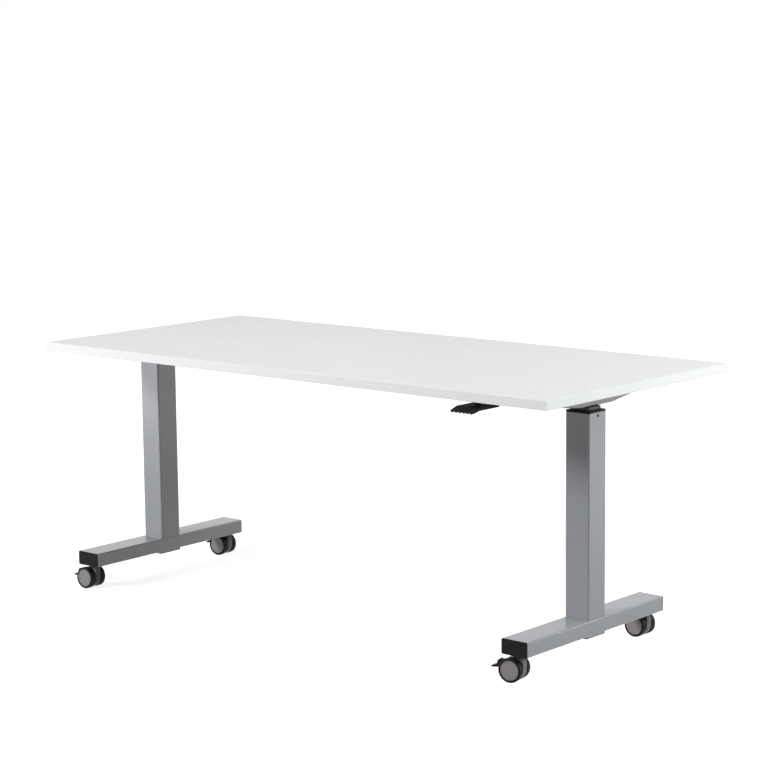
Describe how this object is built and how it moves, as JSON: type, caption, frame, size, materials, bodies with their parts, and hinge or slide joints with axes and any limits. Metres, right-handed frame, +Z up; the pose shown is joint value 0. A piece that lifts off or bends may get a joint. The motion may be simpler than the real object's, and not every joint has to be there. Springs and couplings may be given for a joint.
{
  "type": "gas-spring adjustable table",
  "caption": "Rectangular white table on telescoping gas-spring columns, raised by a hand lever under its edge, with feet on braked swivel castors.",
  "frame": {"origin": "on the floor under the middle of the top", "axes": "+X along the top's length, -Y towards the edge with the hand lever, +Z up"},
  "size_m": [1.8, 0.8, 0.722],
  "materials": {
    "white_board": "white melamine, fine satin grain",
    "white_edging": "white satin edging",
    "silver_paint": "silver grey powder coat",
    "dark_paint": "black powder coat",
    "bright_steel": "zinc plated",
    "chrome_rod": "hard chrome",
    "cast_aluminium": "die cast",
    "black_plastic": "black moulded plastic",
    "grey_plastic": "grey moulded plastic",
    "grey_disc": "grey moulded wheel",
    "soft_tyre": "soft dark tread"
  },
  "bodies": {
    "left_base": {"left_foot_tube": "silver_paint", "left_foot_caps": "black_plastic", "left_base_plate": "silver_paint", "left_column_bolts": "bright_steel", "left_outer_tube": "silver_paint", "left_top_collar": "black_plastic", "left_piston_rod": "chrome_rod"},
    "top": {"tabletop_board": "white_board", "edge_bands": "white_edging", "cross_beam": "silver_paint", "top_screws": "bright_steel", "beam_bolts": "bright_steel", "inner_glides": "black_plastic", "release_heads": "cast_aluminium", "lever_bracket": "dark_paint", "lever_pin": "bright_steel", "cable_clips": "black_plastic", "left_bracket": "silver_paint", "left_inner_tube": "dark_paint", "left_gas_cylinder": "dark_paint", "left_release_cable": "black_plastic", "right_bracket": "silver_paint", "right_inner_tube": "dark_paint", "right_gas_cylinder": "dark_paint", "right_release_cable": "black_plastic"},
    "right_base": {"right_foot_tube": "silver_paint", "right_foot_caps": "black_plastic", "right_base_plate": "silver_paint", "right_column_bolts": "bright_steel", "right_outer_tube": "silver_paint", "right_top_collar": "black_plastic", "right_piston_rod": "chrome_rod"},
    "release_lever": {"release_lever": "black_plastic"},
    "left_rocker": {"left_release_rocker": "bright_steel"},
    "right_rocker": {"right_release_rocker": "bright_steel"},
    "valve_pins": {"valve_pins": "bright_steel"},
    "left_front_castor": {"left_front_castor_body": "grey_plastic"},
    "left_front_pedal": {"left_front_brake_pedal": "black_plastic"},
    "left_front_front_wheel": {"left_front_front_disc": "grey_disc", "left_front_front_tyre": "soft_tyre"},
    "left_front_rear_wheel": {"left_front_rear_disc": "grey_disc", "left_front_rear_tyre": "soft_tyre"},
    "left_rear_castor": {"left_rear_castor_body": "grey_plastic"},
    "left_rear_pedal": {"left_rear_brake_pedal": "black_plastic"},
    "left_rear_front_wheel": {"left_rear_front_disc": "grey_disc", "left_rear_front_tyre": "soft_tyre"},
    "left_rear_rear_wheel": {"left_rear_rear_disc": "grey_disc", "left_rear_rear_tyre": "soft_tyre"},
    "right_front_castor": {"right_front_castor_body": "grey_plastic"},
    "right_front_pedal": {"right_front_brake_pedal": "black_plastic"},
    "right_front_front_wheel": {"right_front_front_disc": "grey_disc", "right_front_front_tyre": "soft_tyre"},
    "right_front_rear_wheel": {"right_front_rear_disc": "grey_disc", "right_front_rear_tyre": "soft_tyre"},
    "right_rear_castor": {"right_rear_castor_body": "grey_plastic"},
    "right_rear_pedal": {"right_rear_brake_pedal": "black_plastic"},
    "right_rear_front_wheel": {"right_rear_front_disc": "grey_disc", "right_rear_front_tyre": "soft_tyre"},
    "right_rear_rear_wheel": {"right_rear_rear_disc": "grey_disc", "right_rear_rear_tyre": "soft_tyre"}
  },
  "joints": [
    {"name": "lift", "type": "slide", "parent": "left_base", "child": "top", "axis": [0, 0, 1], "range_m": [0, 0.4]},
    {"name": "right_lift", "type": "slide", "parent": "top", "child": "right_base", "axis": [0, 0, -1], "range_m": [0, 0.4]},
    {"name": "lever_pivot", "type": "hinge", "parent": "top", "child": "release_lever", "pos_m": [0.639, -0.3, 0.687], "axis": [-1, 0, 0], "range_deg": [0, 10], "stiffness_Nm_per_rad": 1.5, "springref_deg": -17.19},
    {"name": "left_rocker_pivot", "type": "hinge", "parent": "top", "child": "left_rocker", "pos_m": [-0.787, -0.072, 0.6805], "axis": [0, 1, 0], "range_deg": [0, 12.64]},
    {"name": "right_rocker_pivot", "type": "hinge", "parent": "top", "child": "right_rocker", "pos_m": [0.787, -0.072, 0.6805], "axis": [0, -1, 0], "range_deg": [0, 12.64]},
    {"name": "valve_press", "type": "slide", "parent": "top", "child": "valve_pins", "axis": [0, 0, -1], "range_m": [0, 0.00161]},
    {"name": "left_front_swivel", "type": "hinge", "parent": "left_base", "child": "left_front_castor", "pos_m": [-0.78, -0.346, 0.065], "axis": [0, 0, 1], "continuous": true},
    {"name": "left_front_pedal_pivot", "type": "hinge", "parent": "left_front_castor", "child": "left_front_pedal", "pos_m": [-0.81395, -0.34778, 0.04825], "axis": [0.0523, -0.9986, 0], "range_deg": [0, 15]},
    {"name": "left_front_front_spin", "type": "hinge", "parent": "left_front_castor", "child": "left_front_front_wheel", "pos_m": [-0.79698, -0.34689, 0.03125], "axis": [-0.0523, 0.9986, 0], "continuous": true},
    {"name": "left_front_rear_spin", "type": "hinge", "parent": "left_front_castor", "child": "left_front_rear_wheel", "pos_m": [-0.79698, -0.34689, 0.03125], "axis": [-0.0523, 0.9986, 0], "continuous": true},
    {"name": "left_rear_swivel", "type": "hinge", "parent": "left_base", "child": "left_rear_castor", "pos_m": [-0.78, 0.202, 0.065], "axis": [0, 0, 1], "continuous": true},
    {"name": "left_rear_pedal_pivot", "type": "hinge", "parent": "left_rear_castor", "child": "left_rear_pedal", "pos_m": [-0.81387, 0.19904, 0.04825], "axis": [0.0872, -0.9962, 0], "range_deg": [0, 15]},
    {"name": "left_rear_front_spin", "type": "hinge", "parent": "left_rear_castor", "child": "left_rear_front_wheel", "pos_m": [-0.79693, 0.20052, 0.03125], "axis": [-0.0872, 0.9962, 0], "continuous": true},
    {"name": "left_rear_rear_spin", "type": "hinge", "parent": "left_rear_castor", "child": "left_rear_rear_wheel", "pos_m": [-0.79693, 0.20052, 0.03125], "axis": [-0.0872, 0.9962, 0], "continuous": true},
    {"name": "right_front_swivel", "type": "hinge", "parent": "right_base", "child": "right_front_castor", "pos_m": [0.78, -0.346, 0.065], "axis": [0, 0, 1], "continuous": true},
    {"name": "right_front_pedal_pivot", "type": "hinge", "parent": "right_front_castor", "child": "right_front_pedal", "pos_m": [0.74652, -0.3519, 0.04825], "axis": [0.1736, -0.9848, 0], "range_deg": [0, 15]},
    {"name": "right_front_front_spin", "type": "hinge", "parent": "right_front_castor", "child": "right_front_front_wheel", "pos_m": [0.76326, -0.34895, 0.03125], "axis": [-0.1736, 0.9848, 0], "continuous": true},
    {"name": "right_front_rear_spin", "type": "hinge", "parent": "right_front_castor", "child": "right_front_rear_wheel", "pos_m": [0.76326, -0.34895, 0.03125], "axis": [-0.1736, 0.9848, 0], "continuous": true},
    {"name": "right_rear_swivel", "type": "hinge", "parent": "right_base", "child": "right_rear_castor", "pos_m": [0.78, 0.202, 0.065], "axis": [0, 0, 1], "continuous": true},
    {"name": "right_rear_pedal_pivot", "type": "hinge", "parent": "right_rear_castor", "child": "right_rear_pedal", "pos_m": [0.74601, 0.20259, 0.04825], "axis": [-0.0175, -0.9998, 0], "range_deg": [0, 15]},
    {"name": "right_rear_front_spin", "type": "hinge", "parent": "right_rear_castor", "child": "right_rear_front_wheel", "pos_m": [0.763, 0.2023, 0.03125], "axis": [0.0175, 0.9998, 0], "continuous": true},
    {"name": "right_rear_rear_spin", "type": "hinge", "parent": "right_rear_castor", "child": "right_rear_rear_wheel", "pos_m": [0.763, 0.2023, 0.03125], "axis": [0.0175, 0.9998, 0], "continuous": true}
  ],
  "couplings": [
    {"joint": "right_lift", "follows": "lift", "ratio": 1},
    {"joint": "left_rocker_pivot", "follows": "lever_pivot", "ratio": 1.2632},
    {"joint": "right_rocker_pivot", "follows": "lever_pivot", "ratio": 1.2632},
    {"joint": "valve_press", "follows": "lever_pivot", "m_per_rad": 0.009167}
  ]
}
